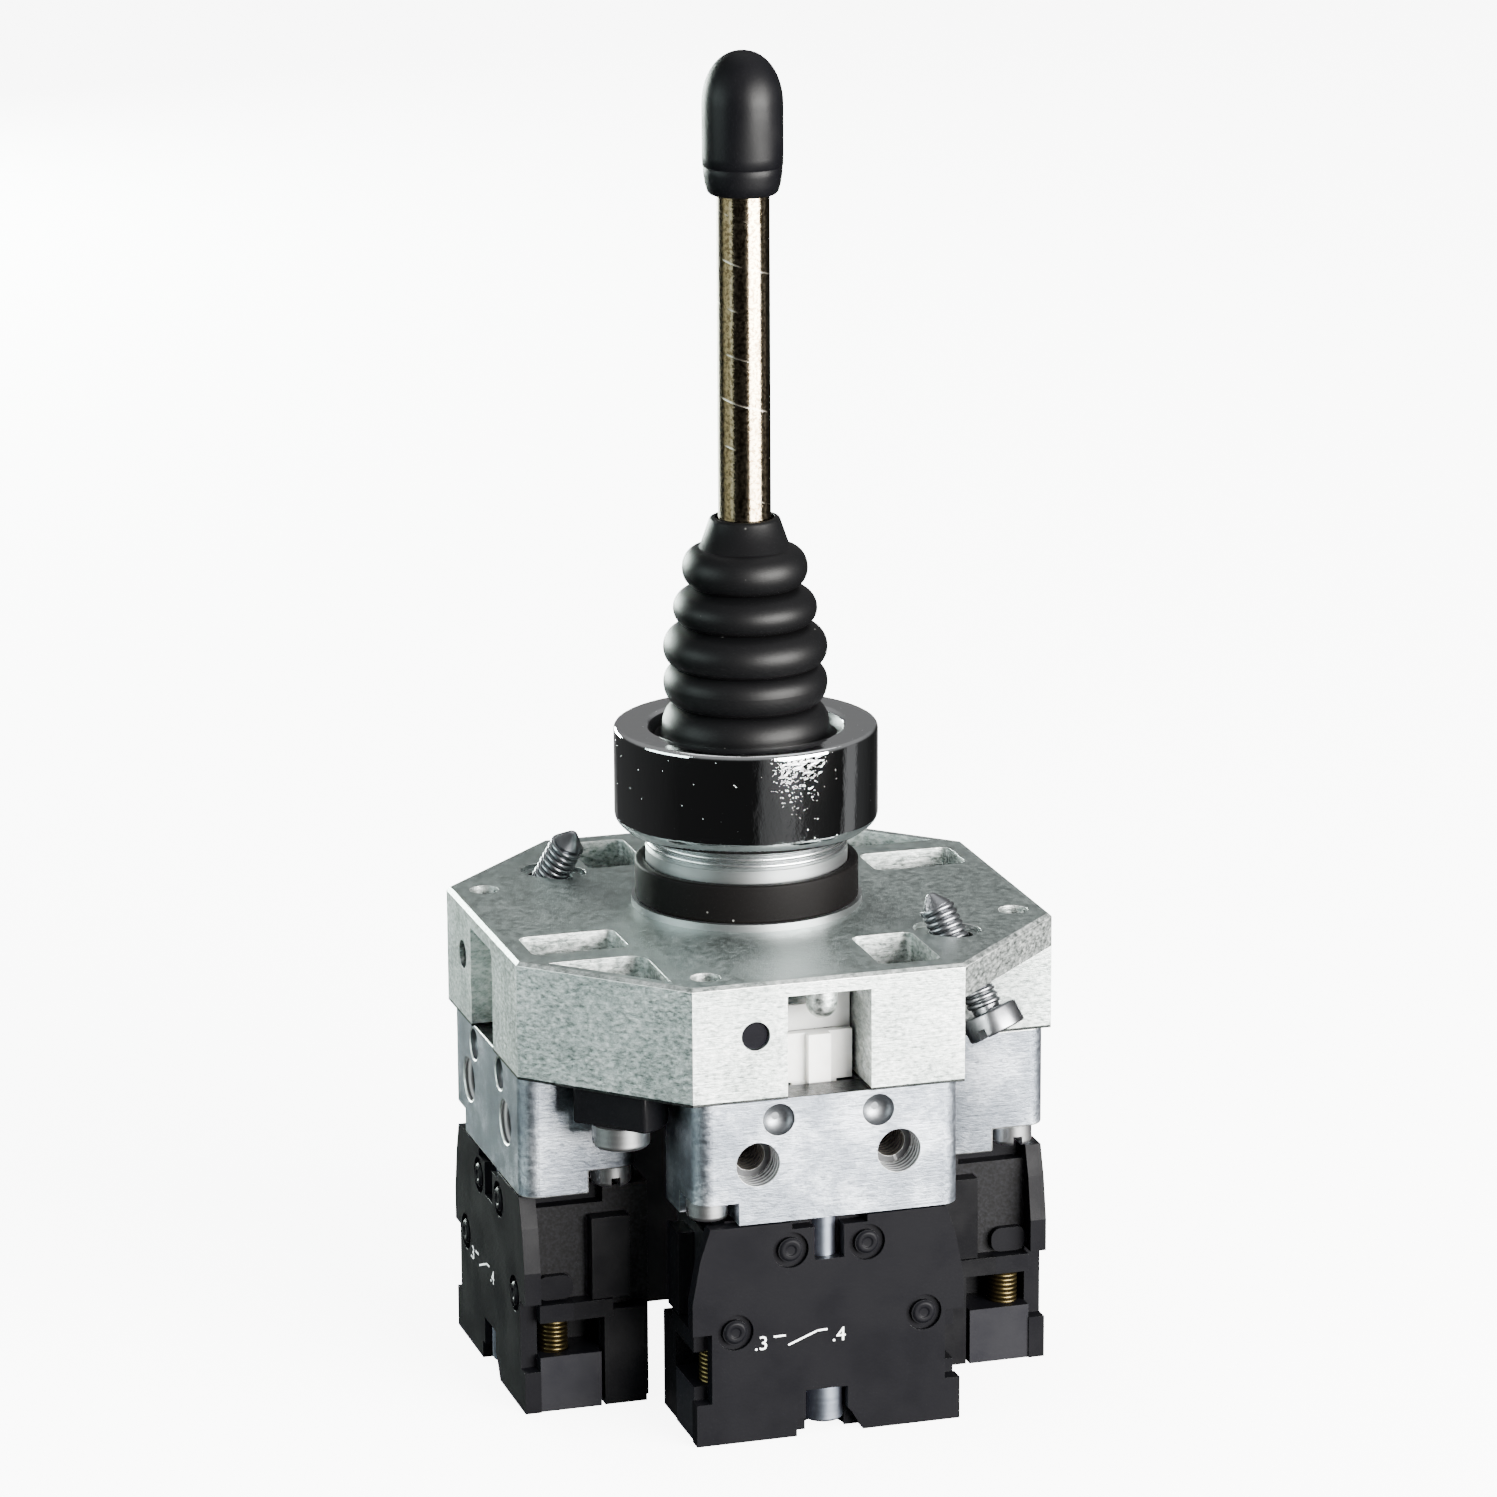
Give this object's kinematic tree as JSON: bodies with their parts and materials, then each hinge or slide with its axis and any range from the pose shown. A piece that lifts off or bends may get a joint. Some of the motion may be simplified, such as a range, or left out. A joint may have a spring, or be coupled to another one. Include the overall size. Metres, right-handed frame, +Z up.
{
  "type": "industrial joystick",
  "caption": "Four-way panel joystick with a long rod and soft cap, a rubber gaiter, a threaded neck, an octagonal metal plate and a contact block on each side.",
  "frame": {"origin": "on the ground plane of the contact blocks' feet, on the lever's axis", "axes": "+Z up along the upright lever, -Y towards the front contact block, +X to the right one"},
  "size_m": [0.06, 0.06, 0.1443],
  "materials": {
    "die_cast_zinc": "cast and finely brushed, mottled",
    "bright_zinc_casting": "cast, bright",
    "chrome": "mirror",
    "zinc_plated_steel": "bright turned",
    "nickel_plated_steel": "turned and plated",
    "black_rubber": "matte",
    "gasket_rubber": "matte",
    "soft_black_plastic": "satin",
    "charcoal_moulding": "satin moulded",
    "grey_moulding": "finely grained",
    "black_moulding": "satin moulded",
    "white_acetal": "smooth",
    "brass": "bare",
    "blackened_steel": "blackened",
    "spring_steel": "drawn wire"
  },
  "bodies": {
    "base": {"mounting_plate": "die_cast_zinc", "threaded_neck": "zinc_plated_steel", "panel_gasket": "gasket_rubber", "ring_nut": "chrome", "gimbal_pins": "zinc_plated_steel", "gaiter": "black_rubber", "bottom_cover": "black_moulding", "cover_screws": "zinc_plated_steel", "clamp_screws": "zinc_plated_steel", "guide_pins": "blackened_steel", "carrier_screws": "zinc_plated_steel", "terminal_screws": "brass", "fixing_screws": "zinc_plated_steel", "pusher_guide_front": "white_acetal", "pusher_guide_right": "white_acetal", "pusher_guide_back": "white_acetal", "pusher_guide_left": "white_acetal", "carrier_front": "bright_zinc_casting", "carrier_right": "bright_zinc_casting", "carrier_back": "bright_zinc_casting", "carrier_left": "bright_zinc_casting", "block_outer_shell_front": "charcoal_moulding", "block_outer_shell_right": "charcoal_moulding", "block_outer_shell_back": "charcoal_moulding", "block_outer_shell_left": "charcoal_moulding", "block_inner_shell_front": "grey_moulding", "block_inner_shell_right": "grey_moulding", "block_inner_shell_back": "grey_moulding", "block_inner_shell_left": "grey_moulding", "fixed_contacts_front": "brass", "fixed_contacts_right": "brass", "fixed_contacts_back": "brass", "fixed_contacts_left": "brass", "plunger_spring_front": "spring_steel", "plunger_spring_right": "spring_steel", "plunger_spring_back": "spring_steel", "plunger_spring_left": "spring_steel"},
    "gimbal": {"gimbal_ring": "zinc_plated_steel", "gimbal_axle": "zinc_plated_steel"},
    "lever": {"lever_rod": "nickel_plated_steel", "grip_cap": "soft_black_plastic", "actuator_cross": "zinc_plated_steel", "cross_nut": "zinc_plated_steel"},
    "contact_slide_front": {"pusher_front": "white_acetal", "plunger_front": "black_moulding", "contact_bridge_front": "brass"},
    "contact_slide_right": {"pusher_right": "white_acetal", "plunger_right": "black_moulding", "contact_bridge_right": "brass"},
    "contact_slide_back": {"pusher_back": "white_acetal", "plunger_back": "black_moulding", "contact_bridge_back": "brass"},
    "contact_slide_left": {"pusher_left": "white_acetal", "plunger_left": "black_moulding", "contact_bridge_left": "brass"}
  },
  "joints": [
    {"name": "lever_tilt_x", "type": "hinge", "parent": "base", "child": "gimbal", "pos_m": [0, 0, 0.0541], "axis": [1, 0, 0], "range_deg": [-12, 12], "stiffness_Nm_per_rad": 0.08, "deforming": ["gaiter"]},
    {"name": "lever_tilt_y", "type": "hinge", "parent": "gimbal", "child": "lever", "pos_m": [0, 0, 0.0541], "axis": [0, 1, 0], "range_deg": [-12, 12], "stiffness_Nm_per_rad": 0.08, "deforming": ["gaiter"]},
    {"name": "contact_front_travel", "type": "slide", "parent": "base", "child": "contact_slide_front", "axis": [0, 0, 1], "range_m": [-0.0038, 0.0038], "deforming": ["plunger_spring_front"]},
    {"name": "contact_right_travel", "type": "slide", "parent": "base", "child": "contact_slide_right", "axis": [0, 0, 1], "range_m": [-0.0038, 0.0038], "deforming": ["plunger_spring_right"]},
    {"name": "contact_back_travel", "type": "slide", "parent": "base", "child": "contact_slide_back", "axis": [0, 0, 1], "range_m": [-0.0038, 0.0038], "deforming": ["plunger_spring_back"]},
    {"name": "contact_left_travel", "type": "slide", "parent": "base", "child": "contact_slide_left", "axis": [0, 0, 1], "range_m": [-0.0038, 0.0038], "deforming": ["plunger_spring_left"]}
  ],
  "couplings": [
    {"joint": "contact_front_travel", "follows": "lever_tilt_x", "m_per_rad": -0.018},
    {"joint": "contact_back_travel", "follows": "lever_tilt_x", "m_per_rad": 0.018},
    {"joint": "contact_right_travel", "follows": "lever_tilt_y", "m_per_rad": -0.018},
    {"joint": "contact_left_travel", "follows": "lever_tilt_y", "m_per_rad": 0.018}
  ]
}
